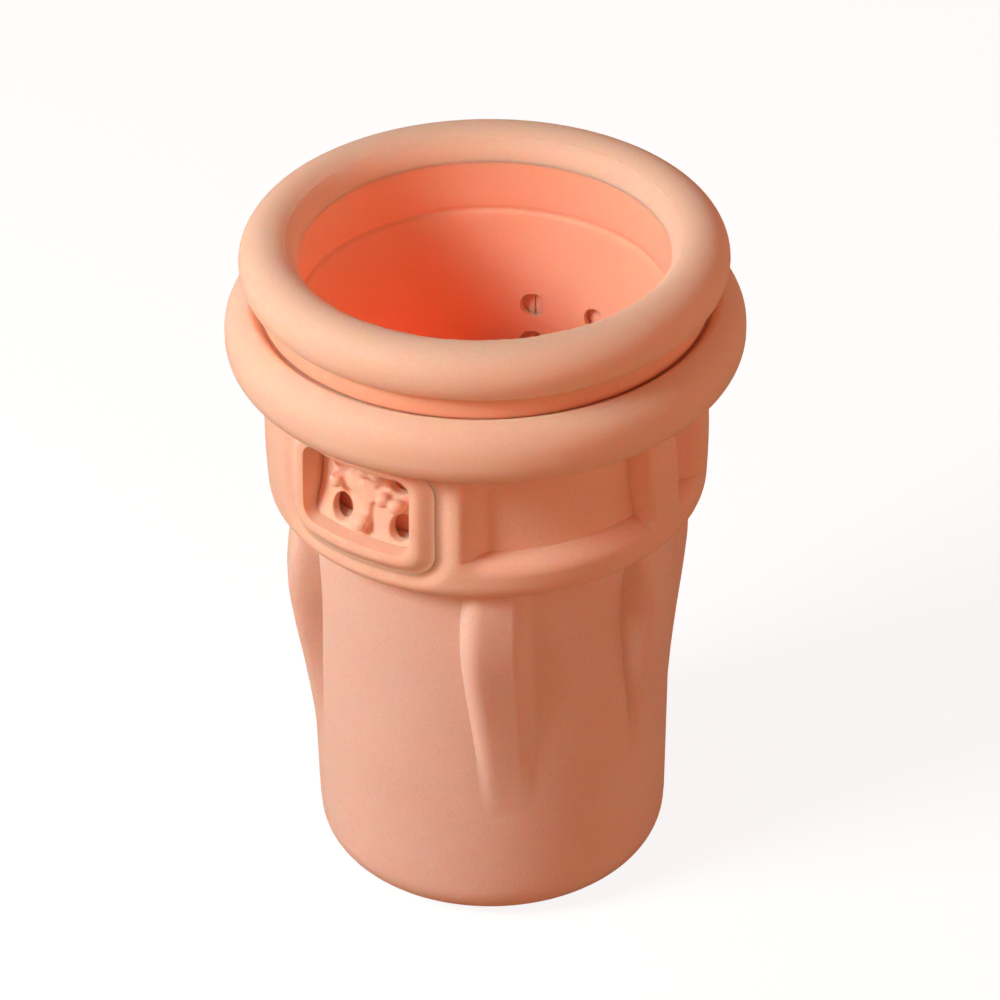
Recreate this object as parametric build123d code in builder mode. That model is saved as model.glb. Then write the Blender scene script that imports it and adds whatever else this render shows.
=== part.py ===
# Paw washer cup: a soft silicone cup with a brush liner that lifts out for cleaning.
# Millimetres and degrees. The origin is the middle of the foot, +Z is up and the
# front port faces -Y. Angles round the cup are counted from -Y towards +X.
import os
from math import cos, radians, sin, sqrt

from build123d import *

os.makedirs("parts", exist_ok=True)

# ---- Driving dimensions ----

# Cup shell
shell_height = 79.8         # from the floor it stands on to the collar
foot_radius = 33.7          # outer radius that the rounded foot starts from
shell_taper = 1.9           # how much wider the shell is under the collar
foot_edge = 8.6             # rounding of the foot
seat_step = 0.9             # step out to the cylinder that the collar sits on
floor_thickness = 3.5
foot_wall = 2.0
port_wall = 1.9             # shell wall at the height of the ports
rim_wall = 1.2              # shell wall at its top edge
floor_corner = 6.0          # inside rounding of the floor

# Fins that carry the collar
fin_length = 52.8
fin_crown_drop = 13.8       # from the collar down to where a fin stands out furthest
fin_crown_reach = 5.5       # how far it stands out there
fin_shoulder_reach = 4.9    # the same halfway up to the collar
fin_top_reach = 2.8         # the same under the collar
fin_lead = 6.2              # half width on the crisp side
fin_trail = 5.8             # half width on the soft side
fin_trail_flare = 1.4       # how much wider the soft side is at the tip
fin_lead_slope = 0.9        # share of the crisp side's half width lost at the tip
fin_soft_drop = 0.3         # share of the reach lost on the soft side
fin_crisp_edge = 0.7
fin_soft_edge = 2.2
fin_root = 1.2              # how deep a fin reaches into the wall
fin_angles = (36, 90, 216, 270)
mirrored_fin_angles = (144, 324)

# Collar
collar_height = 29.2
collar_thickness = 4.9      # at its bottom and top
collar_swell = 0.75         # how much fuller it is halfway up
collar_lip = 4.6            # rounding of the lower edge

# Recesses in the collar, each with one crisp wall and one soft ramp
recess_skin = 0.9           # collar left under a recess
recess_ledge = 8.6          # from the collar's bottom to a recess
recess_corner = 1.8         # rounding between a recess's floor and its ledge
recess_ledge_edge = 0.6
recess_ramp_blend = 4.0
recess_crisp_blend = 0.5
wide_recess = (83.0, 36.0, 28.0)      # crisp wall, foot of the ramp, crest of the ramp
narrow_recess = (96.5, 104.0, 112.0)
recess_turns = (0, 180)

# Ports: a frame and a perforated plate in each window
port_angles = {"front": 0, "rear": 180}
port_width = 24.8           # opening inside the frame
port_corner = 3.0
frame_side = 4.1            # lip width left, right and below
frame_head = 1.8            # lip height above the opening
frame_foot_margin = 5.8     # collar left below a frame
frame_head_margin = 1.2     # collar left above a frame
frame_corner = 5.0
frame_stand = 0.8           # how far the lip stands out of the collar
frame_edge = 0.8
groove_bevel = 0.5          # bevel round each window of the collar
plate_thickness = 2.3
hole_diameter = 5.0
hole_side = 5.7             # from a side of the opening to the middle of a hole
hole_edge = 4.05            # from its top or bottom to the middle of a hole

# Scrub star on each plate
star_height = 0.8
star_hub = 2.4
star_arm = 1.8
nub_radius = 1.1
nub_reach = 1.0             # straight part of a nub, under its round tip
nub_places = ((-6.5, 0.8), (0.7, 5.5), (3.4, 5.6), (7.4, -0.2), (4.6, 0.5), (0.5, -5.2))

# Rolled rims
lower_ring_width = 12.5     # from the shell's seat to the ring's outside
lower_ring_height = 13.8
lower_ring_edge = 6.3
ring_side_flat = 0.4        # least straight height left between the lower ring's roundings
seat_sink = 2.0             # depth of the flange's seat in the lower ring's top
seat_flare = 1.9            # how much wider the seat is at the ring's top
seat_edge = 1.2             # rounding of the ring beside the seat
upper_roll = 5.45           # radius of the upper ring's round section
ring_bed = 0.2              # how deep the upper ring beds on the flange

# Brush liner
liner_gap = 0.3             # clearance all round between liner and cup
liner_foot_rise = 6.5       # from the cup's floor to the sleeve's open lower end
liner_wall = 1.3
liner_belly = 0.34          # how hollow the stretch under the crease is
crease_rise = 11.0          # from the collar's top to the crease in the mouth
neck_wall = 2.2
flange_reach = 4.8          # how far the flange stands out of the neck
flange_thickness = 4.35
flange_edge = 0.9
liner_turn = 9.2            # degrees that the liner sits turned, so its holes miss the plates'
liner_hole_drop = 1.65      # how much lower the liner's holes are than the plates'

# Bristles moulded on the inside of the liner
bristle_rows = 5
bristles_per_row = 14
first_row_rise = 14.0       # from the liner's lower end to the first row
row_spacing = 11.5
bristle_length = 9.0
bristle_sides = 8           # flats round a bristle
bristle_root_radius = 1.5
bristle_tip_radius = 0.8
bristle_sink = 0.6          # how deep a root is drawn into the wall before it is trimmed
bristle_start = 0.25        # share of a pitch that turns the pattern round the cup

# ---- Worked-out heights ----
collar_top = shell_height + collar_height
lower_ring_top = collar_top + lower_ring_height
seat_z = lower_ring_top - seat_sink
flange_bottom = seat_z + liner_gap
flange_top = flange_bottom + flange_thickness
upper_ring_z = flange_top + upper_roll - ring_bed
recess_bottom = shell_height + recess_ledge
crease_z = collar_top + crease_rise
liner_foot = floor_thickness + liner_foot_rise
fin_tip_z = shell_height - fin_length
fin_crown_z = shell_height - fin_crown_drop

# ---- Worked-out window sizes ----
frame_width = port_width + 2 * frame_side
frame_height = collar_height - frame_foot_margin - frame_head_margin
frame_z = shell_height + frame_foot_margin + frame_height / 2
port_height = frame_height - frame_side - frame_head
port_z = frame_z + (frame_side - frame_head) / 2
hole_spread = port_width - 2 * hole_side
hole_rise = port_height - 2 * hole_edge

# ---- Worked-out radii ----
shell_top_radius = foot_radius + shell_taper
seat_radius = shell_top_radius + seat_step
bore_foot_radius = foot_radius - foot_wall
bore_port_radius = seat_radius - port_wall
bore_rim_radius = seat_radius - rim_wall
collar_waist = seat_radius + collar_thickness
collar_bulge = collar_waist + collar_swell
recess_floor_radius = seat_radius + recess_skin
plate_face_radius = bore_port_radius + plate_thickness
lower_ring_radius = seat_radius + lower_ring_width
ring_rounding = min(lower_ring_edge, (lower_ring_height - ring_side_flat) / 2)
mouth_radius = bore_rim_radius - liner_gap
neck_radius = mouth_radius + neck_wall
ring_bore = neck_radius + liner_gap
flange_radius = neck_radius + flange_reach
seat_bore = flange_radius + liner_gap
upper_ring_radius = mouth_radius + upper_roll

reach = 2 * lower_ring_radius   # length of cutters that run right out of the cup


def polar(radius, angle):
    """Point in plan, at an angle counted from -Y towards +X."""
    return (radius * sin(radians(angle)), -radius * cos(radians(angle)))


def shell_radius_at(z):
    """Outer radius of the shell below the collar."""
    return foot_radius + shell_taper * z / shell_height


def bore_radius_at(z):
    """Inner radius of the shell between its floor and the middle of the ports."""
    share = (z - floor_thickness) / (port_z - floor_thickness)
    return bore_foot_radius + (bore_port_radius - bore_foot_radius) * share


def liner_radius_at(z):
    """Inner radius of the liner below the middle of the ports."""
    return bore_radius_at(z) - liner_gap - liner_wall


def nearest_corner(sketch, point):
    """The vertex of a sketch that lies nearest to a point."""
    return sketch.vertices().sort_by_distance(point)[0]


def axis_distance(item):
    """Distance of an edge's or face's middle from the cup's axis."""
    middle = item.center()
    return sqrt(middle.X ** 2 + middle.Y ** 2)


# ---- One fin, on the -Y side, crisp towards -X ----
fin_levels = (
    (fin_tip_z, -fin_crisp_edge / 2),
    ((fin_tip_z + fin_crown_z) / 2, fin_crown_reach / 2),
    (fin_crown_z, fin_crown_reach),
    ((fin_crown_z + shell_height) / 2, fin_shoulder_reach),
    (shell_height, fin_top_reach),
)

with BuildPart() as fin:
    for level, stand in fin_levels:
        taper = min(1.0, (level - fin_tip_z) / (fin_crown_z - fin_tip_z))
        surface = shell_radius_at(level)
        root = surface - fin_root
        crest = surface + stand
        soft_crest = crest - fin_soft_drop * max(0.0, stand)
        lead = -fin_lead * (1 - fin_lead_slope * (1 - taper))
        trail = fin_trail + fin_trail_flare * (1 - taper)
        with BuildSketch(Plane.XY.offset(level)) as fin_section:
            with BuildLine():
                Polyline((lead, -root), (lead, -crest), (trail, -soft_crest), (trail + 1, -root), close=True)
            make_face()
            fillet(nearest_corner(fin_section, (lead, -crest)), fin_crisp_edge * (1 + taper) / 2)
            fillet(nearest_corner(fin_section, (trail, -soft_crest)), fin_soft_edge * (1 + taper) / 2)
    loft()

# ---- Cup shell with its six fins ----
with BuildPart() as outer_cup:
    with BuildSketch(Plane.XZ) as shell_profile:
        with BuildLine():
            Polyline(
                (0, 0),
                (foot_radius, 0),
                (shell_top_radius, shell_height),
                (seat_radius, shell_height),
                (seat_radius, collar_top),
                (bore_rim_radius, collar_top),
                (bore_port_radius, port_z),
                (bore_foot_radius, floor_thickness),
                (0, floor_thickness),
                close=True,
            )
        make_face()
        fillet(nearest_corner(shell_profile, (foot_radius, 0)), foot_edge)
        fillet(nearest_corner(shell_profile, (bore_foot_radius, floor_thickness)), floor_corner)
    revolve(axis=Axis.Z)
    for angle in fin_angles:
        add(fin.part, rotation=(0, 0, angle))
    for angle in mirrored_fin_angles:
        add(mirror(fin.part, about=Plane.YZ, mode=Mode.PRIVATE), rotation=(0, 0, angle))
    for angle in port_angles.values():
        with BuildSketch(Plane.XZ.rotated((0, 0, angle))):
            with Locations((0, port_z)):
                RectangleRounded(port_width, port_height, port_corner)
        extrude(amount=reach, mode=Mode.SUBTRACT)
outer_cup.part.label = "outer_cup"
export_step(outer_cup.part, "parts/outer_cup.step")


# ---- Recess cutters, open at the top ----
def recess_outline(crisp, ramp_foot, ramp_crest):
    """Plan of a recess: a round floor, one crisp radial wall and one soft ramp."""
    foot = polar(recess_floor_radius, ramp_foot)
    crest = polar(collar_bulge, ramp_crest)
    outside = tuple(c + 2 * (c - f) for f, c in zip(foot, crest))
    wall_foot = polar(recess_floor_radius, crisp)
    wall_top = polar(reach, crisp)
    with BuildSketch(Plane.XY.offset(recess_bottom)) as outline:
        with BuildLine():
            RadiusArc(foot, wall_foot, recess_floor_radius * (-1 if crisp > ramp_foot else 1))
            Line(wall_foot, wall_top)
            Line(wall_top, outside)
            Line(outside, foot)
        make_face()
        fillet(nearest_corner(outline, foot), recess_ramp_blend)
        fillet(nearest_corner(outline, wall_foot), recess_crisp_blend)
    return outline.sketch


with BuildPart() as recess_cutter:
    for plan in (wide_recess, narrow_recess):
        extrude(recess_outline(*plan), amount=collar_height)
    floor_edges = recess_cutter.faces().filter_by(Axis.Z).group_by(Axis.Z)[0].edges()
    fillet(floor_edges.filter_by(lambda e: axis_distance(e) < collar_waist), recess_corner)

# ---- Window outlines ----
with BuildPart() as frame_blank:
    with BuildSketch(Plane.XZ):
        with Locations((0, frame_z)):
            RectangleRounded(frame_width, frame_height, frame_corner)
    extrude(amount=reach)

with BuildPart() as port_blank:
    with BuildSketch(Plane.XZ):
        with Locations((0, port_z)):
            RectangleRounded(port_width, port_height, port_corner)
    extrude(amount=reach)

with BuildPart() as hole_pins:
    with BuildSketch(Plane.XZ):
        with Locations((0, port_z)):
            with GridLocations(hole_spread, hole_rise, 2, 2):
                Circle(hole_diameter / 2)
    extrude(amount=reach)

# ---- Collar ----
with BuildPart() as window_collar:
    with BuildSketch(Plane.XZ) as collar_profile:
        with BuildLine():
            Line((seat_radius, collar_top), (seat_radius, shell_height))
            Line((seat_radius, shell_height), (collar_waist, shell_height))
            ThreePointArc(
                (collar_waist, shell_height),
                (collar_bulge, shell_height + collar_height / 2),
                (collar_waist, collar_top),
            )
            Line((collar_waist, collar_top), (seat_radius, collar_top))
        make_face()
        fillet(nearest_corner(collar_profile, (collar_waist, shell_height)), collar_lip)
    revolve(axis=Axis.Z)
    for angle in recess_turns:
        add(recess_cutter.part, rotation=(0, 0, angle), mode=Mode.SUBTRACT)
        ledge_edges = window_collar.edges(Select.LAST).filter_by(
            lambda e: axis_distance(e) > collar_waist and e.center().Z < recess_bottom + recess_ledge_edge
        )
        fillet(ledge_edges, recess_ledge_edge)
    for angle in port_angles.values():
        add(frame_blank.part, rotation=(0, 0, angle), mode=Mode.SUBTRACT)
        rim_edges = window_collar.edges(Select.LAST).filter_by(lambda e: axis_distance(e) > collar_waist - 2)
        chamfer(rim_edges, groove_bevel)
window_collar.part.label = "window_collar"
export_step(window_collar.part, "parts/window_collar.step")

# ---- Lower rolled rim, lying on the collar and the shell's edge ----
with BuildPart() as lower_rim_ring:
    with BuildSketch(Plane.XZ) as lower_profile:
        with BuildLine():
            Polyline(
                (bore_rim_radius, collar_top),
                (lower_ring_radius, collar_top),
                (lower_ring_radius, lower_ring_top),
                (ring_bore, lower_ring_top),
                (ring_bore, crease_z),
                close=True,
            )
        make_face()
        fillet(nearest_corner(lower_profile, (lower_ring_radius, collar_top)), ring_rounding)
        fillet(nearest_corner(lower_profile, (lower_ring_radius, lower_ring_top)), ring_rounding)
        with BuildLine():
            Polyline(
                (0, seat_z),
                (seat_bore, seat_z),
                (seat_bore + seat_flare, lower_ring_top),
                (0, lower_ring_top),
                close=True,
            )
        make_face(mode=Mode.SUBTRACT)
        fillet(nearest_corner(lower_profile, (seat_bore + seat_flare, lower_ring_top)), seat_edge)
    revolve(axis=Axis.Z)
lower_rim_ring.part.label = "lower_rim_ring"
export_step(lower_rim_ring.part, "parts/lower_rim_ring.step")

# ---- Port frames ----
with BuildPart() as frame_barrel:
    with BuildSketch(Plane.XZ):
        with BuildLine():
            Polyline(
                (collar_waist + frame_stand, collar_top),
                (seat_radius, collar_top),
                (seat_radius, shell_height),
                (collar_waist + frame_stand, shell_height),
            )
            ThreePointArc(
                (collar_waist + frame_stand, shell_height),
                (collar_bulge + frame_stand, shell_height + collar_height / 2),
                (collar_waist + frame_stand, collar_top),
            )
        make_face()
    revolve(axis=Axis.Z)

for place, angle in port_angles.items():
    with BuildPart() as port_frame:
        add(frame_blank.part)
        add(port_blank.part, mode=Mode.SUBTRACT)
        add(frame_barrel.part, mode=Mode.INTERSECT)
        fillet(port_frame.edges().filter_by(lambda e: axis_distance(e) > collar_waist - 2), frame_edge)
    with BuildPart() as port_frame_turned:
        add(port_frame.part, rotation=(0, 0, angle))
    port_frame_turned.part.label = "port_frame_" + place
    export_step(port_frame_turned.part, "parts/port_frame_" + place + ".step")

# ---- Port plates with their stars ----
def layer_outline(face_radius):
    """Section between the shell's bore and a round face, over the height of the collar."""
    with BuildSketch(Plane.XZ) as outline:
        with BuildLine():
            Polyline(
                (bore_radius_at(shell_height), shell_height),
                (face_radius, shell_height),
                (face_radius, collar_top),
                (bore_rim_radius, collar_top),
                (bore_port_radius, port_z),
                close=True,
            )
        make_face()
    return outline.sketch


with BuildPart() as plate_layer:
    revolve(layer_outline(plate_face_radius), axis=Axis.Z)

with BuildPart() as star_layer:
    revolve(layer_outline(plate_face_radius + star_height), axis=Axis.Z)

with BuildPart() as star:
    with BuildSketch(Plane.XZ):
        with Locations((0, port_z)):
            Circle(star_hub)
            for across, up in nub_places:
                SlotCenterPoint((across / 2, up / 2), (across, up), star_arm)
    extrude(amount=reach)
    add(star_layer.part, mode=Mode.INTERSECT)

for place, angle in port_angles.items():
    with BuildPart() as port_plate:
        add(port_blank.part)
        add(plate_layer.part, mode=Mode.INTERSECT)
        add(star.part)
        add(hole_pins.part, mode=Mode.SUBTRACT)
        for across, up in nub_places:
            face_depth = sqrt(plate_face_radius ** 2 - across ** 2)
            with BuildSketch(Plane.XZ.offset(face_depth - nub_reach)):
                with Locations((across, port_z + up)):
                    Circle(nub_radius)
            extrude(amount=2 * nub_reach)
            with Locations((across, -face_depth - nub_reach, port_z + up)):
                Sphere(nub_radius)
    with BuildPart() as port_plate_turned:
        add(port_plate.part, rotation=(0, 0, angle))
    port_plate_turned.part.label = "port_plate_" + place
    export_step(port_plate_turned.part, "parts/port_plate_" + place + ".step")

# ---- Brush liner: tapered sleeve, crease, neck and flange ----
with BuildPart() as brush_liner:
    with BuildSketch(Plane.XZ) as liner_profile:
        belly = ((liner_radius_at(port_z) + mouth_radius) / 2 - liner_belly, (port_z + crease_z) / 2)
        with BuildLine():
            Polyline(
                (liner_radius_at(port_z), port_z),
                (liner_radius_at(liner_foot), liner_foot),
                (bore_radius_at(liner_foot) - liner_gap, liner_foot),
                (bore_port_radius - liner_gap, port_z),
                (mouth_radius, collar_top),
                (neck_radius, crease_z),
                (neck_radius, flange_bottom),
                (flange_radius, flange_bottom),
                (flange_radius, flange_top),
                (neck_radius, flange_top),
                (neck_radius, upper_ring_z),
                (mouth_radius, upper_ring_z),
                (mouth_radius, crease_z),
            )
            ThreePointArc((mouth_radius, crease_z), belly, (liner_radius_at(port_z), port_z))
        make_face()
        fillet(nearest_corner(liner_profile, (flange_radius, flange_bottom)), flange_edge)
        fillet(nearest_corner(liner_profile, (flange_radius, flange_top)), flange_edge)
    revolve(axis=Axis.Z)
    for angle in port_angles.values():
        with Locations((0, 0, -liner_hole_drop)):
            add(hole_pins.part, rotation=(0, 0, angle + liner_turn), mode=Mode.SUBTRACT)
brush_liner.part.label = "brush_liner"
export_step(brush_liner.part, "parts/brush_liner.step")

# ---- Bristles: rows of tapered fingers, their roots trimmed to the liner's wall ----
with BuildPart() as bristle:
    for depth, radius in ((0, bristle_root_radius), (bristle_sink + bristle_length, bristle_tip_radius)):
        with BuildSketch(Plane.YZ.offset(-depth)):
            RegularPolygon(radius, bristle_sides)
    loft()

with BuildPart() as scrub_bristles:
    for row in range(bristle_rows):
        row_z = liner_foot + first_row_rise + row * row_spacing
        turn = (bristle_start + row % 2 / 2) * 360 / bristles_per_row
        with Locations((0, 0, row_z)):
            with PolarLocations(liner_radius_at(row_z) + bristle_sink, bristles_per_row, start_angle=turn):
                add(bristle.part)
    add(brush_liner.part, mode=Mode.SUBTRACT)
scrub_bristles.part.label = "scrub_bristles"
export_step(scrub_bristles.part, "parts/scrub_bristles.step")

# ---- Upper rolled rim, bedded on the liner's neck and flange ----
with BuildPart() as upper_rim_ring:
    with BuildSketch(Plane.XZ):
        with Locations((upper_ring_radius, upper_ring_z)):
            Circle(upper_roll)
        with Locations((neck_radius / 2, upper_ring_z / 2)):
            Rectangle(neck_radius, upper_ring_z, mode=Mode.SUBTRACT)
        with Locations((flange_radius / 2, flange_top / 2)):
            Rectangle(flange_radius, flange_top, mode=Mode.SUBTRACT)
    revolve(axis=Axis.Z)
upper_rim_ring.part.label = "upper_rim_ring"
export_step(upper_rim_ring.part, "parts/upper_rim_ring.step")
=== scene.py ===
from math import atan2, cos, degrees, exp, hypot, radians, sin, sqrt, tau

import bmesh
import bpy
from mathutils import Matrix, Vector, noise


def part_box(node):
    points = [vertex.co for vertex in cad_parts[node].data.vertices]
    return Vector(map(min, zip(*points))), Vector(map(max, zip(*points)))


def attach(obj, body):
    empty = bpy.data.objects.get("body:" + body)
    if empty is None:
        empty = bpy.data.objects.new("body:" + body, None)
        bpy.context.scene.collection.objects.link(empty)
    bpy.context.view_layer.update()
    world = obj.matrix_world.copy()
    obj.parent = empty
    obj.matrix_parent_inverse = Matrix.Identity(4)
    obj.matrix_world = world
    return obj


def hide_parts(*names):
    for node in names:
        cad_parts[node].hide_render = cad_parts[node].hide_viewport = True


# A soft silicone paw washer: a finned cup with a windowed collar and a rolled rim, and a
# bristle liner with a rolled rim of its own that lifts out. Shapes are worked in
# millimetres and brought to metres when a piece is finished. Angles round the cup are in
# degrees, counted from the front port (-Y) towards +X.
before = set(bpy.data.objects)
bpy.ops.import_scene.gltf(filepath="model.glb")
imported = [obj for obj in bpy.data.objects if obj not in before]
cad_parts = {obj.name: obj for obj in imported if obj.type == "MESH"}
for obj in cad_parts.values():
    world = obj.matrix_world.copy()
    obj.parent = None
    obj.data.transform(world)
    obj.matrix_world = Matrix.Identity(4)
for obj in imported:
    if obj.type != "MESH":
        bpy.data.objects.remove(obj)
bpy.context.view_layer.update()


def extent(node):
    """Lowest and highest corner of a CAD node, in millimetres."""
    low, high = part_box(node)
    return low * 1000, high * 1000


# ---- Sizes taken from the frame ----
collar_low, collar_high = extent("window_collar")
lower_high = extent("lower_rim_ring")[1]
upper_high = extent("upper_rim_ring")[1]
liner_low, liner_high = extent("brush_liner")
frame_low, frame_high = extent("port_frame_front")
plate_low, plate_high = extent("port_plate_front")

collar_foot = collar_low.z
collar_top = collar_high.z
collar_bulge = collar_high.x
lower_radius = lower_high.x
liner_foot = liner_low.z
flange_radius = liner_high.x
frame_width = frame_high.x - frame_low.x
frame_height = frame_high.z - frame_low.z
frame_z = (frame_high.z + frame_low.z) / 2
port_width = plate_high.x - plate_low.x
port_height = plate_high.z - plate_low.z
port_z = (plate_high.z + plate_low.z) / 2

# ---- Cup shell ----
foot_radius = 33.7
shell_top_radius = 35.6
seat_radius = 36.5
foot_edge = 8.6
floor_thickness = 3.5
floor_corner = 6.0
bore_foot = 31.7
bore_port = 34.6
bore_rim = 35.3
bore_line = ((bore_foot + 2.0, 62), (bore_foot + 0.3, 14))      # (radius, height) between port and floor

# ---- Fins under the collar ----
fin_tip = 27.0
fin_crown = 66.0
fin_reach = ((fin_tip, 0.0), (34.0, 0.75), (46.5, 2.6), (58.0, 4.6))
fin_reach += ((fin_crown, 5.5), (73.0, 4.7), (collar_foot, 2.8))
fin_lead = ((fin_tip, 0.0), (40.0, 1.4), (52.0, 3.0), (60.0, 4.0))
fin_lead += ((fin_crown, 4.4), (73.0, 4.1), (collar_foot, 3.3))
fin_trail = 5.8
fin_flare = 1.4
fin_field = 24              # columns on either side that a fin may draw together
lead_column = 10.0          # columns from a fin's middle to its lead edge
trail_column = 9.5
fin_lead_in = 0.8           # columns before the lead edge where a fin starts to rise
fin_shoulder = 7.0          # columns over which the rounded lead edge rises
fin_slope = 0.3             # share of its reach that a fin loses from lead to trail edge
trail_fall = (3.0, 5.5)     # columns before and after the trail edge over which a fin falls
trail_bead = 0.13
bead_away = 1.0             # columns from the trail edge to the bead, then the bead's width
bead_width = 1.5
bead_run_in = 12            # height over which the bead comes up
plain_fins = (36, 90, 216, 270)
mirrored_fins = (144, 324)

# ---- Collar ----
collar_swell = 0.75
collar_lip = 4.6
recess_radius = 37.4
recess_foot = 88.4
post_left = 83.0
post_right = 96.5
wide_ramp = (29.0, 37.5)
narrow_ramp = (102.5, 112)
wall_round = 1.6            # degrees that a recess wall's rounded brow takes of the post
wall_run = 1.0
ledge_round = 2.4           # height that the ledge's rounded brow takes of the collar's foot
ledge_run = 0.9
post_start = 60             # angles between which the columns follow the posts' edges
post_end = 125
post_left_wave = (84.3, -3.1, 0.35, 9.0, 0.6)
post_right_wave = (96.3, -1.7, 0.4, 11.0, 2.2)

# ---- Ports ----
port_turns = {"front": 0, "rear": 180}
port_corner = 3.0
frame_corner = 5.0
frame_stand = 0.9
groove_sink = 0.9
groove_away = 1.3           # from a frame's edge to the bottom of the soft valley round it
groove_width = 1.4
plate_radius = 36.9
plate_back = 34.75
plate_lean = 3.0            # how much farther out the foot of a plate stands
frame_root = 1.8            # from a plate's back to a frame's
frame_slack = 0.06
hole_radius = 2.5
pin_reach = 35              # from the axis to the middle of a pin that bores a drain hole
hole_spread = 13.4
hole_rise = 8.2
plate_holes = ((-6.7, 4.2), (6.9, 4.0), (-5.5, -4.9), (8.0, -4.9))
star_height = 0.9
star_hub = (2.9, 2.1)       # the hub's radius at its foot and at its top
star_arm = 2.2
bead_radius = 1.5
bead_stand = 1.7            # from a plate's face to the middle of a nub's bead
stem_radius = (1.3, 1.2)
stem_length = 2.4
stem_stand = 0.2
grain_size = 0.22           # size of the cells in which a plate is melted together
nub_places = ((-6.5, 0.8), (0.7, 5.5), (3.4, 5.6), (7.4, -0.2), (4.6, 0.5), (0.5, -5.2))

# ---- Rims and liner ----
lower_edge = 6.3
lower_top = collar_top + 13.8       # the crown that the ring's roundings would reach
seat_sink = 2.0
seat_flare = 1.9
seat_edge = 1.2
upper_roll = 5.45
upper_centre = upper_high.x - upper_roll
upper_z = upper_high.z - upper_roll
mouth_radius = upper_centre - upper_roll
neck_radius = mouth_radius + 2.2
flange_thickness = 4.35
flange_edge = 0.9
flange_brow = 0.25
flange_slack = 0.06
liner_gap = 0.3
seat_z = lower_top - seat_sink
seat_bore = flange_radius + liner_gap
flange_foot = seat_z + liner_gap
flange_top = flange_foot + flange_thickness
crease_z = collar_top + 11.0
crease = ((0.06, 1.0), (0.2, 0.6), (0.3, 0.3), (0.26, 0), (0.05, -0.3), (-0.14, -0.55), (-0.24, -0.8))
liner_wall = 1.3
liner_turn = 9.2
liner_hole_drop = 1.65
bristle_rows = 5
bristles_per_row = 14
first_row_rise = 14
row_spacing = 11.5
bristle_start = 0.25        # share of a pitch that turns the pattern round the cup
bristle_length = 9.0
bristle_radius = (1.5, 0.8)
bristle_sink = 0.25
bristle_edge = 0.45
flash_angle = 128.0         # where on the upper roll the ragged flash of the mould runs
flash_half = 1.6
flash_height = 0.14
flash_lean = (-0.62, 0.78)
flash_grain = 0.55
flash_fine_grain = 2.1

round_steps = 720           # columns round a turned piece
sharp_edge = 40             # degrees between faces from which an edge is shaded sharp
hair = 0.02                 # nearer than this counts as the same place


# ---- Small helpers ----
def share_of(low, high, value):
    """How far value lies from low to high, kept between 0 and 1."""
    return min(1.0, max(0.0, (value - low) / (high - low)))


def smoothstep(low, high, value):
    share = share_of(low, high, value)
    return share * share * (3 - 2 * share)


def scooped(low, high, value):
    """From 0, rounded over, at low down to 1 in a sharp corner at high."""
    share = share_of(low, high, value)
    return 1 - sqrt(1 - share * share)


def through(points, value):
    """A smooth curve through (place, height) points, read at value."""
    value = min(max(value, points[0][0]), points[-1][0])
    slopes = []
    for i in range(len(points)):
        before = points[max(i - 1, 0)]
        after = points[min(i + 1, len(points) - 1)]
        slopes.append((after[1] - before[1]) / (after[0] - before[0]))
    for i, ((x0, y0), (x1, y1)) in enumerate(zip(points, points[1:])):
        if value <= x1:
            span = x1 - x0
            t = (value - x0) / span
            start = y0 * (2 * t ** 3 - 3 * t ** 2 + 1) + slopes[i] * span * (t ** 3 - 2 * t ** 2 + t)
            end = y1 * (3 * t ** 2 - 2 * t ** 3) + slopes[i + 1] * span * (t ** 3 - t ** 2)
            return start + end
    return points[-1][1]


def moved(angle, marks):
    """An angle after the columns between marks, (before, after) pairs, have moved along."""
    for (before_0, after_0), (before_1, after_1) in zip(marks, marks[1:]):
        if before_0 <= angle <= before_1:
            return after_0 + (angle - before_0) / (before_1 - before_0) * (after_1 - after_0)
    return angle


def turned_from(angle, centre):
    """Angle measured from a centre, between -180 and 180."""
    return (angle - centre + 180) % 360 - 180


def angle_of(co):
    return degrees(atan2(co.x, -co.y))


def place(vert, radius, angle):
    vert.co.x = radius * sin(radians(angle))
    vert.co.y = -radius * cos(radians(angle))


def arc(centre, radius, start, end, steps):
    """Profile points on an arc, its angles counted from outwards to upwards."""
    points = []
    for i in range(steps + 1):
        angle = radians(start + (end - start) * i / steps)
        points.append((centre[0] + radius * cos(angle), centre[1] + radius * sin(angle)))
    return points


def rows(low, high, count):
    return [low + (high - low) * i / count for i in range(count + 1)]


def rounded_distance(across, up, width, height, corner):
    """Distance outside a rounded rectangle, negative inside it."""
    dx = abs(across) - width / 2 + corner
    dz = abs(up) - height / 2 + corner
    return hypot(max(dx, 0), max(dz, 0)) + min(max(dx, dz), 0) - corner


def lathe(profile):
    """A closed (radius, height) profile spun round the cup's axis."""
    bm = bmesh.new()
    ring = [bm.verts.new((0, -radius, height)) for radius, height in profile]
    edges = [bm.edges.new((a, b)) for a, b in zip(ring, ring[1:] + ring[:1])]
    steps = round_steps // 8
    bmesh.ops.spin(bm, geom=ring + edges, cent=(0, 0, 0), axis=(0, 0, 1), angle=tau / 8, steps=steps)
    for turn in (tau / 8, tau / 4, tau / 2):
        copied = bmesh.ops.duplicate(bm, geom=bm.verts[:] + bm.edges[:] + bm.faces[:])["geom"]
        verts = [v for v in copied if isinstance(v, bmesh.types.BMVert)]
        bmesh.ops.rotate(bm, cent=(0, 0, 0), matrix=Matrix.Rotation(turn, 3, "Z"), verts=verts)
    bmesh.ops.remove_doubles(bm, verts=bm.verts, dist=1e-4)
    bmesh.ops.dissolve_degenerate(bm, dist=1e-5, edges=bm.edges)
    bmesh.ops.recalc_face_normals(bm, faces=bm.faces)
    return bm


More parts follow.
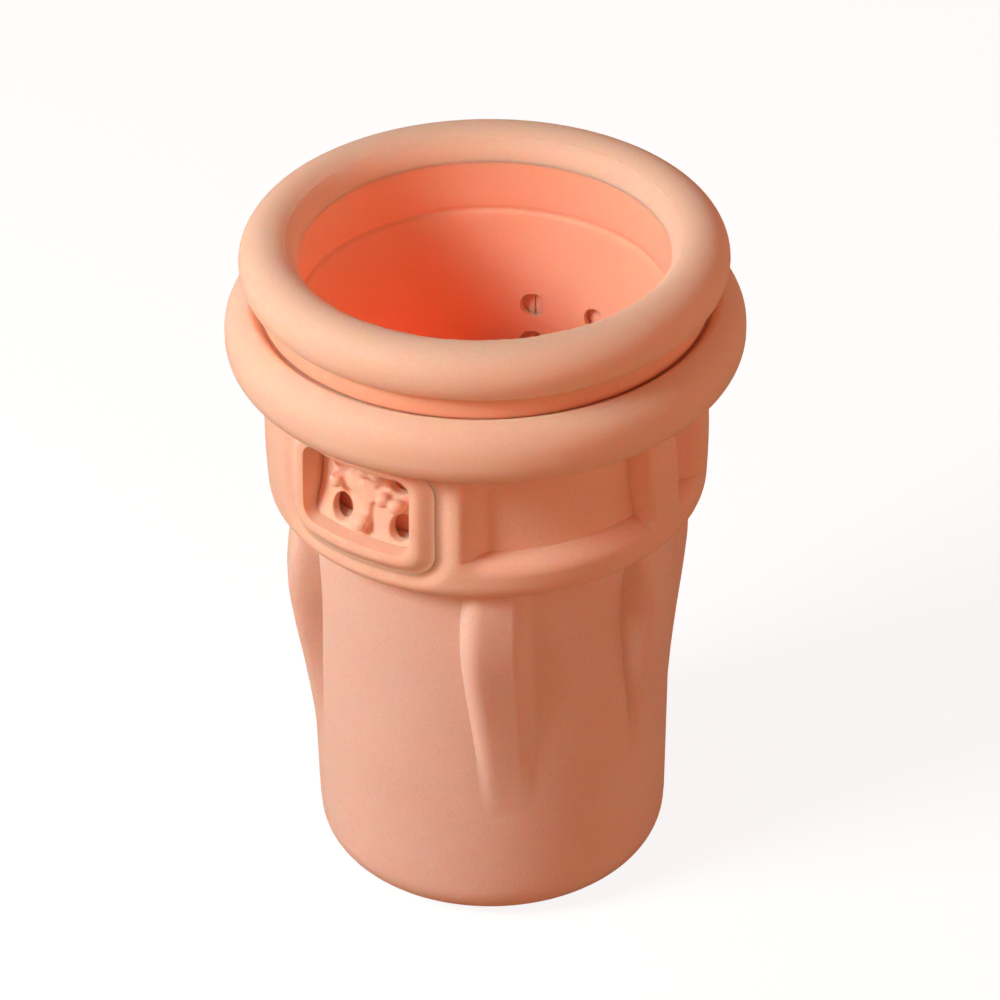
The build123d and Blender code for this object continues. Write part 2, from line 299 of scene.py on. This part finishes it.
def loose_object(bm, name):
    mesh = bpy.data.meshes.new(name)
    bm.to_mesh(mesh)
    bm.free()
    obj = bpy.data.objects.new(name, mesh)
    bpy.context.scene.collection.objects.link(obj)
    return obj


def shaped(bm, modifiers):
    """The bmesh after modifiers, given as (kind, settings), have been applied to it."""
    obj = loose_object(bm, "being_shaped")
    for kind, settings in modifiers:
        modifier = obj.modifiers.new(kind.lower(), kind)
        for key, value in settings.items():
            setattr(modifier, key, value)
    seen = obj.evaluated_get(bpy.context.evaluated_depsgraph_get())
    result = bmesh.new()
    result.from_mesh(seen.to_mesh())
    seen.to_mesh_clear()
    bpy.data.objects.remove(obj)
    return result


def cut(bm, cutter):
    """The bmesh less the cutter, which is used up."""
    tool = loose_object(cutter, "cutter")
    result = shaped(bm, [("BOOLEAN", {"operation": "DIFFERENCE", "solver": "MANIFOLD", "object": tool})])
    bpy.data.objects.remove(tool)
    return result


def finish_piece(bm, name, body, node, material):
    """Brings a bmesh to metres as the shown piece that stands for a CAD node."""
    for face in bm.faces:
        face.smooth = True
    for edge in bm.edges:
        edge.smooth = not (edge.is_manifold and edge.calc_face_angle(0) > radians(sharp_edge))
    bmesh.ops.scale(bm, vec=(0.001, 0.001, 0.001), verts=bm.verts)
    obj = loose_object(bm, name)
    obj.data.materials.append(material)
    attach(obj, body)
    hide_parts(node)


# ---- Window shapes ----
def rounded_off(bm, parts, kind, size, segments):
    """Rounds corners (kind VERTICES) or edges (kind EDGES) of a bmesh."""
    shape = {"segments": segments, "profile": 0.5, "material": -1}
    bmesh.ops.bevel(bm, geom=parts, offset=size, offset_type="OFFSET", affect=kind, **shape)


def turned(bm, turn):
    """Turns a bmesh round the cup's axis by an angle in degrees."""
    bmesh.ops.rotate(bm, cent=(0, 0, 0), matrix=Matrix.Rotation(radians(turn), 3, "Z"), verts=bm.verts)


def cone_along_y(bm, across, along, up, radii, length, segments):
    """A capped cone that runs along Y, its second radius at the -Y end."""
    where = Matrix.Translation((across, along, up)) @ Matrix.Rotation(radians(90), 4, "X")
    bmesh.ops.create_cone(
        bm, cap_ends=True, segments=segments, radius1=radii[0], radius2=radii[1], depth=length, matrix=where
    )


def rounded_loop(bm, width, height, corner, up):
    """Edges of a rounded rectangle standing in the XZ plane."""
    made = bmesh.ops.create_grid(bm, x_segments=1, y_segments=1, size=0.5)["verts"]
    bmesh.ops.scale(bm, vec=(width, height, 1), verts=made)
    bmesh.ops.rotate(bm, cent=(0, 0, 0), matrix=Matrix.Rotation(radians(90), 3, "X"), verts=made)
    bmesh.ops.translate(bm, vec=(0, 0, up), verts=made)
    rounded_off(bm, made, "VERTICES", corner, 10)
    face = next(iter(bm.faces))
    edges = list(face.edges)
    sides = [e for e in edges if e.calc_length() > corner * 0.4]
    bmesh.ops.delete(bm, geom=[face], context="FACES_ONLY")
    divided = bmesh.ops.subdivide_edges(bm, edges=sides, cuts=13)["geom_split"]
    pieces = [e for e in divided if isinstance(e, bmesh.types.BMEdge)]
    return list({e for e in edges if e.is_valid} | set(pieces))


def window_cutter(width, height, corner, up, turn):
    """A rounded prism that runs outwards from the axis through one wall."""
    bm = bmesh.new()
    edges = rounded_loop(bm, width, height, corner, up)
    face = bmesh.ops.contextual_create(bm, geom=edges)["faces"]
    out = bmesh.ops.extrude_face_region(bm, geom=face)["geom"]
    verts = [v for v in out if isinstance(v, bmesh.types.BMVert)]
    bmesh.ops.translate(bm, vec=(0, -60, 0), verts=verts)
    turned(bm, turn)
    bmesh.ops.recalc_face_normals(bm, faces=bm.faces)
    return bm


def pin_cutter(turn, places, middle):
    """Pins that bore the drain holes of one port."""
    bm = bmesh.new()
    for across, up in places:
        cone_along_y(bm, across, -pin_reach, middle + up, (hole_radius, hole_radius), 30, 40)
    turned(bm, turn)
    return bm


# ---- Cup shell ----
def collar_radius_at(z):
    waist = collar_bulge - collar_swell
    middle = (collar_foot + collar_top) / 2
    return waist + collar_swell * (1 - ((z - middle) / (collar_top - middle)) ** 2)


def shell_radius_at(z):
    return foot_radius + (shell_top_radius - foot_radius) * z / collar_foot


def fin_columns(z):
    """Where the columns at a fin's lead and trail edges lie at a height, in degrees."""
    trail = fin_trail + fin_flare * (1 - share_of(fin_tip, fin_crown, z))
    return degrees(through(fin_lead, z) / shell_radius_at(z)), degrees(trail / shell_radius_at(z))


def cup_shell():
    outer = [(shell_radius_at(z), z) for z in rows(foot_edge + 1.5, 24, 8)[:-1] + rows(24, collar_foot, 56)]
    profile = [(0, 0), (foot_radius * 0.4, 0)]
    profile += arc((foot_radius - foot_edge + 0.1, foot_edge), foot_edge, -90, 2, 16)
    profile += outer
    profile += [(seat_radius, collar_foot + 0.4), (seat_radius, port_z), (seat_radius, collar_top)]
    profile += [(bore_rim, collar_top), (bore_port, port_z), *bore_line]
    profile += arc((bore_foot - floor_corner, floor_thickness + floor_corner), floor_corner, 0, -90, 8)
    profile += [(12, floor_thickness), (0, floor_thickness)]
    bm = lathe(profile)
    for vert in bm.verts:
        z = vert.co.z
        radius = hypot(vert.co.x, vert.co.y)
        if not (fin_tip - 3 < z < collar_foot + 0.1 and radius > shell_radius_at(z) - 0.3):
            continue
        angle = angle_of(vert.co)
        for centre in plain_fins + mirrored_fins:
            hand = -1 if centre in mirrored_fins else 1
            away = turned_from(angle, centre) * hand
            if abs(away) > fin_field:
                continue
            lead, trail = fin_columns(z)
            marks = ((-fin_field, -fin_field), (-lead_column, -lead))
            marks += ((trail_column, trail), (fin_field, fin_field))
            into = min(1.0, max(0.0, (away + lead_column + fin_lead_in) / fin_shoulder))
            rise = sqrt(1 - (1 - into) ** 2)
            fall = 1 - smoothstep(trail_column - trail_fall[0], trail_column + trail_fall[1], away)
            slope = 1 - fin_slope * smoothstep(-lead_column, trail_column, away)
            bead = trail_bead * exp(-((away - trail_column - bead_away) / bead_width) ** 2)
            bead *= smoothstep(fin_tip, fin_tip + bead_run_in, z)
            crest = through(fin_reach, z) * rise * fall * slope + bead
            place(vert, radius + crest, centre + hand * moved(away, marks))
            break
    for turn in port_turns.values():
        bm = cut(bm, window_cutter(port_width, port_height, port_corner, port_z, turn))
    return bm


# ---- Collar ----
def post_edge(z, wave):
    """Angle of a post's edge, which leans and waves a little as moulded."""
    foot, lean, swing, pace, start = wave
    share = (z - recess_foot) / (collar_top - recess_foot)
    return foot + lean * share + swing * sin(share * pace + start)


def recess_share(angle, z):
    """How far into a recess a place lies, from 0 on the collar to 1 on the recess floor."""
    wide = smoothstep(*wide_ramp, angle) * scooped(post_left + wall_round, post_left - wall_run, angle)
    narrow = scooped(post_right - wall_round, post_right + wall_run, angle)
    narrow *= 1 - smoothstep(*narrow_ramp, angle)
    ledge = scooped(recess_foot - ledge_round, recess_foot + ledge_run, z)
    return max(wide, narrow) * ledge


def collar_band():
    lip_z = collar_foot + collar_lip
    heights = rows(lip_z, recess_foot - ledge_round, 4)[:-1]
    heights += rows(recess_foot - ledge_round, recess_foot + 0.4, 9)[:-1]
    heights += rows(recess_foot + 0.4, recess_foot + 1.0, 6)[:-1]
    heights += rows(recess_foot + 1.0, collar_top, 30)
    profile = [(seat_radius + hair, collar_foot)]
    profile += arc((collar_radius_at(lip_z) - collar_lip, lip_z), collar_lip, -90, -4, 12)
    profile += [(collar_radius_at(z), z) for z in heights]
    profile += [(seat_radius + hair, collar_top)]
    bm = lathe(profile)
    for vert in bm.verts:
        z = vert.co.z
        radius = hypot(vert.co.x, vert.co.y)
        if radius < seat_radius + 0.5:
            continue
        angle = angle_of(vert.co) % 180
        turn = angle_of(vert.co) - angle
        depth = (radius - recess_radius) * recess_share(angle, z)
        edge_z = max(z, recess_foot - 1)
        left = post_edge(edge_z, post_left_wave)
        right = post_edge(edge_z, post_right_wave)
        marks = ((post_start, post_start), (post_left, left), (post_right, right), (post_end, post_end))
        depth += groove_depth(angle_of(vert.co), z)
        place(vert, radius - depth, turn + moved(angle, marks))
    for turn in port_turns.values():
        bm = cut(bm, window_cutter(frame_width, frame_height, frame_corner, frame_z, turn))
    return bm


def groove_at(outside):
    return groove_sink * exp(-((outside - groove_away) / groove_width) ** 2)


def groove_depth(angle, z):
    """Depth of the soft valley that runs round each port frame."""
    depth = 0.0
    for turn in port_turns.values():
        away = turned_from(angle, turn)
        if abs(away) < 40:
            across = collar_bulge * sin(radians(away))
            outside = rounded_distance(across, z - frame_z, frame_width, frame_height, frame_corner)
            depth = max(depth, groove_at(max(outside, 0)))
    return depth


# ---- Port frames and plates ----
def wrapped(bm, radius_of, turn):
    """Bends a flat panel, its depth along -Y, round the cup."""
    for vert in bm.verts:
        radius = radius_of(vert.co)
        vert.co.y = -sqrt(radius ** 2 - vert.co.x ** 2)
    turned(bm, turn)
    bmesh.ops.recalc_face_normals(bm, faces=bm.faces)
    return bm


def port_frame(turn):
    bm = bmesh.new()
    depth = 5
    outer = rounded_loop(bm, frame_width - frame_slack, frame_height - frame_slack, frame_corner, frame_z)
    inner = rounded_loop(bm, port_width, port_height, port_corner, port_z)
    spokes = bmesh.ops.bridge_loops(bm, edges=outer + inner)["edges"]
    bmesh.ops.subdivide_edges(bm, edges=spokes, cuts=11, use_grid_fill=True)
    top = list(bm.faces)
    out = bmesh.ops.extrude_face_region(bm, geom=top)["geom"]
    lifted = {v for v in out if isinstance(v, bmesh.types.BMVert)}
    bmesh.ops.translate(bm, vec=(0, -depth, 0), verts=list(lifted))
    walls = [e for e in bm.edges if abs(e.verts[0].co.y - e.verts[1].co.y) > depth - 1]
    bmesh.ops.subdivide_edges(bm, edges=walls, cuts=2, use_grid_fill=True)

    def radius_of(co):
        share = -co.y / depth
        from_outer = -rounded_distance(co.x, co.z - frame_z, frame_width, frame_height, frame_corner)
        from_inner = rounded_distance(co.x, co.z - port_z, port_width, port_height, port_corner)
        width = max(from_outer + max(from_inner, 0), 0.1)
        across = min(1.0, max(0.0, from_outer / width))
        lip = smoothstep(0, 0.6, across) * sqrt(smoothstep(-1.4, 1.6, from_inner))
        high = collar_radius_at(co.z) - groove_at(0) + (frame_stand + groove_at(0)) * lip
        return plate_back + frame_root + share * (high - plate_back - frame_root)

    return wrapped(bm, radius_of, turn)


def melted(bm, passes):
    """Joins what overlaps into one skin and smooths it, more with each pass."""
    remesh = ("REMESH", {"mode": "VOXEL", "voxel_size": grain_size})
    return shaped(bm, [remesh, ("SMOOTH", {"factor": 0.5, "iterations": passes})])


def port_plate(turn):
    """A perforated plate with a star of nubs, melted together and bent round the cup."""
    bm = bmesh.new()
    slab = plate_radius - plate_back
    bmesh.ops.create_cube(bm, size=1, matrix=Matrix.Diagonal((port_width, slab, port_height, 1)))
    face = -slab / 2
    cone_along_y(bm, 0, face, 0, star_hub, 2 * star_height, 32)
    for across, up in nub_places:
        length = hypot(across, up)
        lay = Matrix.Translation((across / 2, face, up / 2)) @ Matrix.Rotation(atan2(-up, across), 4, "Y")
        arm = Matrix.Diagonal((length, 2 * star_height, star_arm, 1))
        bmesh.ops.create_cube(bm, size=1, matrix=lay @ arm)
        tip = Matrix.Translation((across, face - bead_stand, up))
        bmesh.ops.create_icosphere(bm, subdivisions=3, radius=bead_radius, matrix=tip)
        cone_along_y(bm, across, face - stem_stand, up, stem_radius, stem_length, 24)
    bm = melted(bm, 18)
    holes = pin_cutter(0, plate_holes, 0)
    bmesh.ops.translate(holes, vec=(0, pin_reach, 0), verts=holes.verts)
    bm = melted(cut(bm, holes), 3)
    bmesh.ops.translate(bm, vec=(0, 0, port_z), verts=bm.verts)

    def radius_of(co):
        lean = plate_lean * max(0, (port_z + 1 - co.z) / (port_height / 2 + 1)) ** 2
        return (plate_radius + plate_back) / 2 - co.y + lean

    return wrapped(bm, radius_of, turn)


# ---- Rolled rims ----
def lower_roll():
    """The cup's rolled rim, with a flared seat for the liner's flange in its top."""
    centre = Vector((lower_radius - lower_edge, lower_top - lower_edge))
    along = Vector((seat_flare, seat_sink)).normalized()
    start = Vector((seat_bore + seat_edge * along.y, seat_z - seat_edge * along.x)) - centre
    back = start.dot(along)
    run = sqrt(back ** 2 - start.length_squared + (lower_edge - seat_edge) ** 2) - back
    crest = start + along * run
    turn = degrees(atan2(crest.y, crest.x))
    profile = [(bore_rim, collar_top)]
    profile += arc((centre.x, collar_top + lower_edge), lower_edge, -90, 0, 16)
    profile += arc(centre, lower_edge, 0, turn, 18)
    profile += arc(centre + crest, seat_edge, turn, 90 + degrees(atan2(along.y, along.x)), 8)[1:]
    profile += [(seat_bore + 0.15, seat_z + 0.05), (seat_bore - 0.2, seat_z)]
    profile += [(neck_radius + liner_gap, seat_z), (neck_radius + liner_gap, crease_z)]
    return lathe(profile)


def on_roll(angle):
    """Profile point on the upper roll, its angle counted from outwards to upwards."""
    return arc((upper_centre, upper_z), upper_roll, angle, angle, 1)[0]


def upper_rim():
    angles = rows(0, 360, 56)[:-1]
    angles = [a for a in angles if abs(a - flash_angle) > 2 * flash_half]
    angles += [flash_angle - flash_half, flash_angle, flash_angle + flash_half]
    bm = lathe([on_roll(a) for a in sorted(angles)])
    flash = on_roll(flash_angle)
    for vert in bm.verts:
        radius = hypot(vert.co.x, vert.co.y)
        if abs(radius - flash[0]) < hair and abs(vert.co.z - flash[1]) < hair:
            ragged = noise.noise(Vector((vert.co.x * flash_grain, vert.co.y * flash_grain, 3.0)))
            fine = noise.noise(Vector((vert.co.x * flash_fine_grain, vert.co.y * flash_fine_grain, 8.0)))
            height = flash_height * smoothstep(-0.15, 0.25, ragged + 0.6 * fine)
            place(vert, radius + flash_lean[0] * height, angle_of(vert.co))
            vert.co.z += flash_lean[1] * height
    return bm


# ---- Liner ----
def liner_bore_at(z):
    """Inner radius of the sleeve, which follows the cup's bore."""
    share = (z - floor_thickness) / (port_z - floor_thickness)
    return bore_foot + (bore_port - bore_foot) * share - liner_gap - liner_wall


def liner_sleeve():
    mouth = mouth_radius
    profile = [(liner_bore_at(liner_foot), liner_foot), (liner_bore_at(liner_foot) + liner_wall, liner_foot)]
    profile += [(bore_port - liner_gap, port_z), (mouth, collar_top), (neck_radius, crease_z)]
    profile += [(neck_radius, flange_foot)]
    rim = seat_bore - flange_slack
    profile += arc((rim - flange_edge, flange_foot + flange_edge), flange_edge, -90, 0, 6)
    profile += arc((rim - flange_brow, flange_top - flange_brow), flange_brow, 0, 90, 4)
    profile += [(neck_radius, flange_top), (neck_radius, upper_z), (mouth, upper_z)]
    profile += [(mouth, z) for z in rows(upper_z - 1.5, crease_z + 1.4, 6)]
    profile += [(mouth + out, crease_z + up) for out, up in crease]
    below = crease[-1]
    hollow = [(z, liner_bore_at(z)) for z in (liner_foot, 60, port_z)]
    hollow.append((collar_top, (liner_bore_at(port_z) + mouth) / 2 - 0.3))
    hollow.append((crease_z + below[1], mouth + below[0]))
    heights = rows(crease_z - 2, port_z - 10, 16) + rows(port_z - 16, liner_foot + 6, 8)
    profile += [(through(hollow, z), z) for z in heights]
    bm = lathe(profile)
    liner_holes = [(a * hole_spread / 2, b * hole_rise / 2) for a in (-1, 1) for b in (-1, 1)]
    for turn in port_turns.values():
        bm = cut(bm, pin_cutter(turn + liner_turn, liner_holes, port_z - liner_hole_drop))
    return bm


def reach_in(co):
    """How far inside the sleeve's wall a place lies."""
    return liner_bore_at(co.z) - hypot(co.x, co.y)


def bristle_set():
    """Tapered fingers that stand inwards from the sleeve, each row half a pitch past the last."""
    bm = bmesh.new()
    for row in range(bristle_rows):
        z = liner_foot + first_row_rise + row_spacing * row
        root = liner_bore_at(z) + bristle_sink
        for i in range(bristles_per_row):
            turn = radians((i + bristle_start + row % 2 / 2) * 360 / bristles_per_row)
            where = Matrix.Rotation(turn, 4, "Z") @ Matrix.Translation((root - bristle_length / 2, 0, z))
            where = where @ Matrix.Rotation(radians(-90), 4, "Y")
            foot, tip = bristle_radius
            bmesh.ops.create_cone(
                bm, cap_ends=True, segments=12, radius1=foot, radius2=tip, depth=bristle_length, matrix=where
            )
    tips = [e for e in bm.edges if all(reach_in(v.co) > bristle_length - 2 for v in e.verts)]
    rounded_off(bm, tips, "EDGES", bristle_edge, 2)
    bmesh.ops.recalc_face_normals(bm, faces=bm.faces)
    return bm


# ---- Finishes ----
def linear(*shown):
    """A colour given in display values up to 255, as the linear colour that shaders take."""
    return tuple(((c / 255 + 0.055) / 1.055) ** 2.4 for c in shown) + (1.0,)


def add_socket(group, name, direction, kind, value=None):
    socket = group.interface.new_socket(name=name, in_out=direction, socket_type=kind)
    if value is not None:
        socket.default_value = value


def feed(group, socket, value):
    """Links another node's socket to this one, or sets a constant on it."""
    if isinstance(value, bpy.types.NodeSocket):
        group.links.new(value, socket)
    else:
        socket.default_value = value


def math_node(group, operation, *values, clamp=False):
    node = group.nodes.new("ShaderNodeMath")
    node.operation = operation
    node.use_clamp = clamp
    for socket, value in zip(node.inputs, values):
        feed(group, socket, value)
    return node.outputs[0]


def mix_colour(group, share, first, second):
    node = group.nodes.new("ShaderNodeMix")
    node.data_type = "RGBA"
    for name, value in (("Factor_Float", share), ("A_Color", first), ("B_Color", second)):
        feed(group, next(s for s in node.inputs if s.identifier == name), value)
    return next(s for s in node.outputs if s.identifier == "Result_Color")


def noise_node(group, place_socket, scale, detail, roughness=0.5):
    node = group.nodes.new("ShaderNodeTexNoise")
    node.inputs["Scale"].default_value = scale
    node.inputs["Detail"].default_value = detail
    node.inputs["Roughness"].default_value = roughness
    group.links.new(place_socket, node.inputs["Vector"])
    return node.outputs["Fac"]


def silicone_skin():
    """Shared skin of matte moulded silicone: clouding, grain, specks of dust and fine pits."""
    group = bpy.data.node_groups.new("matte silicone skin", "ShaderNodeTree")
    add_socket(group, "Colour", "INPUT", "NodeSocketColor", (0.8, 0.4, 0.25, 1))
    add_socket(group, "Cloud Colour", "INPUT", "NodeSocketColor", (0.8, 0.4, 0.25, 1))
    add_socket(group, "Clouding", "INPUT", "NodeSocketFloat", 0.5)
    add_socket(group, "Grain", "INPUT", "NodeSocketFloat", 0.5)
    add_socket(group, "Dust", "INPUT", "NodeSocketFloat", 0.3)
    add_socket(group, "Colour", "OUTPUT", "NodeSocketColor")
    add_socket(group, "Roughness", "OUTPUT", "NodeSocketFloat")
    add_socket(group, "Height", "OUTPUT", "NodeSocketFloat")
    given = group.nodes.new("NodeGroupInput")
    result = group.nodes.new("NodeGroupOutput")
    where = group.nodes.new("ShaderNodeTexCoord").outputs["Object"]

    cloud = noise_node(group, where, 55, 3, 0.55)
    cloud = math_node(group, "MULTIPLY_ADD", cloud, 2.6, -0.8, clamp=True)
    cloud = math_node(group, "MULTIPLY", cloud, given.outputs["Clouding"])
    colour = mix_colour(group, cloud, given.outputs["Colour"], given.outputs["Cloud Colour"])

    grain = noise_node(group, where, 2600, 2, 0.6)
    grain_tone = math_node(group, "SUBTRACT", grain, 0.5)
    grain_tone = math_node(group, "MULTIPLY", grain_tone, given.outputs["Grain"])
    grain_tone = math_node(group, "MULTIPLY_ADD", grain_tone, 0.5, 1.0)
    tone = group.nodes.new("ShaderNodeHueSaturation")
    group.links.new(grain_tone, tone.inputs["Value"])
    group.links.new(colour, tone.inputs["Color"])

    specks = group.nodes.new("ShaderNodeTexVoronoi")
    specks.inputs["Scale"].default_value = 420
    group.links.new(where, specks.inputs["Vector"])
    speck = math_node(group, "LESS_THAN", specks.outputs["Distance"], 0.09)
    rare = group.nodes.new("ShaderNodeSeparateColor")
    group.links.new(specks.outputs["Color"], rare.inputs["Color"])
    speck = math_node(group, "MULTIPLY", speck, math_node(group, "GREATER_THAN", rare.outputs["Red"], 0.9))
    speck = math_node(group, "MULTIPLY", speck, given.outputs["Dust"])
    dusted = mix_colour(group, speck, tone.outputs["Color"], (0.95, 0.8, 0.7, 1))
    group.links.new(dusted, result.inputs["Colour"])

    rough = math_node(group, "MULTIPLY_ADD", grain, 0.14, 0.5)
    rough = math_node(group, "ADD", rough, math_node(group, "MULTIPLY", cloud, 0.08))
    group.links.new(rough, result.inputs["Roughness"])

    wave = math_node(group, "MULTIPLY", noise_node(group, where, 320, 2), 0.6)
    height = math_node(group, "ADD", wave, math_node(group, "MULTIPLY", grain, given.outputs["Grain"]))
    height = math_node(group, "ADD", height, speck)
    group.links.new(height, result.inputs["Height"])
    return group


def silicone(name, skin, colour, cloud, clouding, grain, dust, glow):
    """Soft silicone: the shared skin over a body that light sinks into."""
    material = bpy.data.materials.new(name)
    material.use_nodes = True
    tree = material.node_tree
    tree.nodes.clear()
    surface = tree.nodes.new("ShaderNodeBsdfPrincipled")
    output = tree.nodes.new("ShaderNodeOutputMaterial")
    tree.links.new(surface.outputs["BSDF"], output.inputs["Surface"])
    cover = tree.nodes.new("ShaderNodeGroup")
    cover.node_tree = skin
    settings = {"Colour": colour, "Cloud Colour": cloud, "Clouding": clouding, "Grain": grain, "Dust": dust}
    for socket, value in settings.items():
        cover.inputs[socket].default_value = value
    tree.links.new(cover.outputs["Colour"], surface.inputs["Base Color"])
    tree.links.new(cover.outputs["Roughness"], surface.inputs["Roughness"])
    bump = tree.nodes.new("ShaderNodeBump")
    bump.inputs["Strength"].default_value = 0.25
    bump.inputs["Distance"].default_value = 0.0001
    tree.links.new(cover.outputs["Height"], bump.inputs["Height"])
    tree.links.new(bump.outputs["Normal"], surface.inputs["Normal"])
    surface.inputs["Subsurface Weight"].default_value = 1.0
    surface.inputs["Subsurface Radius"].default_value = (1.0, 0.25, 0.12)
    surface.inputs["Subsurface Scale"].default_value = glow
    surface.inputs["IOR"].default_value = 1.41
    surface.inputs["Specular IOR Level"].default_value = 0.35
    return material


# ---- Stage, light and camera ----
def stage_floor():
    bm = bmesh.new()
    bmesh.ops.create_grid(bm, x_segments=1, y_segments=1, size=6)
    floor = loose_object(bm, "floor")
    material = bpy.data.materials.new("pale floor")
    material.use_nodes = True
    tree = material.node_tree
    seen = tree.nodes["Principled BSDF"]
    seen.inputs["Base Color"].default_value = (0.2, 0.2, 0.2, 1)
    seen.inputs["Roughness"].default_value = 0.9
    seen.inputs["Specular IOR Level"].default_value = 0.1
    seen.inputs["Emission Color"].default_value = (1, 1, 1, 1)
    seen.inputs["Emission Strength"].default_value = 0.88
    bounce = tree.nodes.new("ShaderNodeBsdfDiffuse")
    bounce.inputs["Color"].default_value = (0.45, 0.23, 0.13, 1)
    camera_only(tree, seen.outputs["BSDF"], bounce.outputs["BSDF"], tree.nodes["Material Output"])
    floor.data.materials.append(material)


def camera_only(tree, seen, other, output):
    """Shows one shader to the camera and lights the cup with another."""
    path = tree.nodes.new("ShaderNodeLightPath")
    mix = tree.nodes.new("ShaderNodeMixShader")
    tree.links.new(path.outputs["Is Camera Ray"], mix.inputs[0])
    tree.links.new(other, mix.inputs[1])
    tree.links.new(seen, mix.inputs[2])
    tree.links.new(mix.outputs[0], output.inputs["Surface"])


def white_world():
    """A white surround for the camera, and a warm one, dim overhead, for what it lights."""
    world = bpy.data.worlds.new("studio")
    world.use_nodes = True
    bpy.context.scene.world = world
    tree = world.node_tree
    ambient = tree.nodes["Background"]
    ambient.inputs["Color"].default_value = (1.0, 0.46, 0.30, 1)
    where = tree.nodes.new("ShaderNodeTexCoord")
    parts = tree.nodes.new("ShaderNodeSeparateXYZ")
    fade = tree.nodes.new("ShaderNodeMapRange")
    fade.interpolation_type = "SMOOTHSTEP"
    fade.inputs["From Min"].default_value = 0.1
    fade.inputs["From Max"].default_value = 0.8
    fade.inputs["To Min"].default_value = 1.0
    fade.inputs["To Max"].default_value = 0.05
    tree.links.new(where.outputs["Generated"], parts.inputs["Vector"])
    tree.links.new(parts.outputs["Z"], fade.inputs["Value"])
    tree.links.new(fade.outputs["Result"], ambient.inputs["Strength"])
    seen = tree.nodes.new("ShaderNodeBackground")
    camera_only(tree, seen.outputs[0], ambient.outputs[0], tree.nodes["World Output"])


def area_lamp(name, spot, towards, size, power, colour):
    lamp = bpy.data.lights.new(name, "AREA")
    lamp.size = size
    lamp.energy = power
    lamp.color = colour
    obj = bpy.data.objects.new(name, lamp)
    bpy.context.scene.collection.objects.link(obj)
    obj.location = spot
    obj.rotation_euler = towards.to_track_quat("-Z", "Y").to_euler()
    return obj


def studio_lamp(name, angle, rise, distance, size, power, colour):
    """A square lamp that looks at the cup from an angle round it and a rise above the floor."""
    target = Vector((0, 0, 0.07))
    level = cos(radians(rise))
    along = Vector((sin(radians(angle)) * level, -cos(radians(angle)) * level, sin(radians(rise))))
    area_lamp(name, target + along * distance, -along, size, power, colour)


def glow_lamp():
    """Red light that the cup's wall lets through to the shaded side of its inside."""
    angle = radians(-53)
    towards = Vector((sin(angle), -cos(angle), 0.9)).normalized()
    obj = area_lamp("glow lamp", (-0.006, -0.0045, 0.078), towards, 0.03, 0.009, (1.0, 0.1, 0.04))
    obj.data.shape = "DISK"
    obj.visible_camera = False


def camera():
    heading = 36.86         # degrees from the front port, then below level, then of tilt
    dip = 33.28
    roll = -0.8
    lens = bpy.data.cameras.new("view")
    lens.lens = 211.2
    lens.sensor_width = 36
    obj = bpy.data.objects.new("view", lens)
    bpy.context.scene.collection.objects.link(obj)
    obj.location = (0.5653, -0.7502, 0.6927)
    aim = Matrix.Rotation(radians(heading), 3, "Z") @ Matrix.Rotation(radians(90 - dip), 3, "X")
    aim = aim @ Matrix.Rotation(radians(roll), 3, "Z")
    obj.rotation_euler = aim.to_euler()
    bpy.context.scene.camera = obj


# ---- Build ----
skin = silicone_skin()
finishes = {            # two colours, then clouding, grain, dust and how deep light sinks in
    "cup shell silicone": ((240, 204, 186), (234, 194, 174), 0.5, 0.6, 0.3, 0.001),
    "collar silicone": ((250, 202, 176), (246, 194, 166), 0.4, 0.5, 0.3, 0.0008),
    "rim silicone": ((252, 208, 182), (250, 202, 175), 0.4, 0.35, 0.2, 0.006),
    "liner silicone": ((255, 192, 160), (255, 184, 148), 0.4, 0.35, 0.2, 0.0012),
}
shell_skin, collar_skin, rim_skin, liner_skin = (
    silicone(name, skin, linear(*colour), linear(*cloud), *settings)
    for name, (colour, cloud, *settings) in finishes.items()
)

finish_piece(cup_shell(), "cup_shell", "cup", "outer_cup", shell_skin)
finish_piece(collar_band(), "collar_band", "cup", "window_collar", collar_skin)
finish_piece(lower_roll(), "lower_roll", "cup", "lower_rim_ring", rim_skin)
for side, turn in port_turns.items():
    frame_piece = port_frame(turn)
    finish_piece(frame_piece, "frame_" + side, "cup", "port_frame_" + side, collar_skin)
    plate_piece = port_plate(turn)
    finish_piece(plate_piece, "plate_" + side, "cup", "port_plate_" + side, collar_skin)
finish_piece(liner_sleeve(), "liner_sleeve", "liner", "brush_liner", liner_skin)
finish_piece(bristle_set(), "bristle_set", "liner", "scrub_bristles", liner_skin)
finish_piece(upper_rim(), "upper_rim", "liner", "upper_rim_ring", rim_skin)

stage_floor()
white_world()
studio_lamp("key lamp", -27, 37, 1.1, 0.36, 9.8, (0.89, 0.98, 1.0))
studio_lamp("fill lamp", 110, 12, 1.4, 1.2, 2.8, (1.0, 0.66, 0.52))
glow_lamp()
camera()
bpy.context.scene.view_settings.view_transform = "Standard"
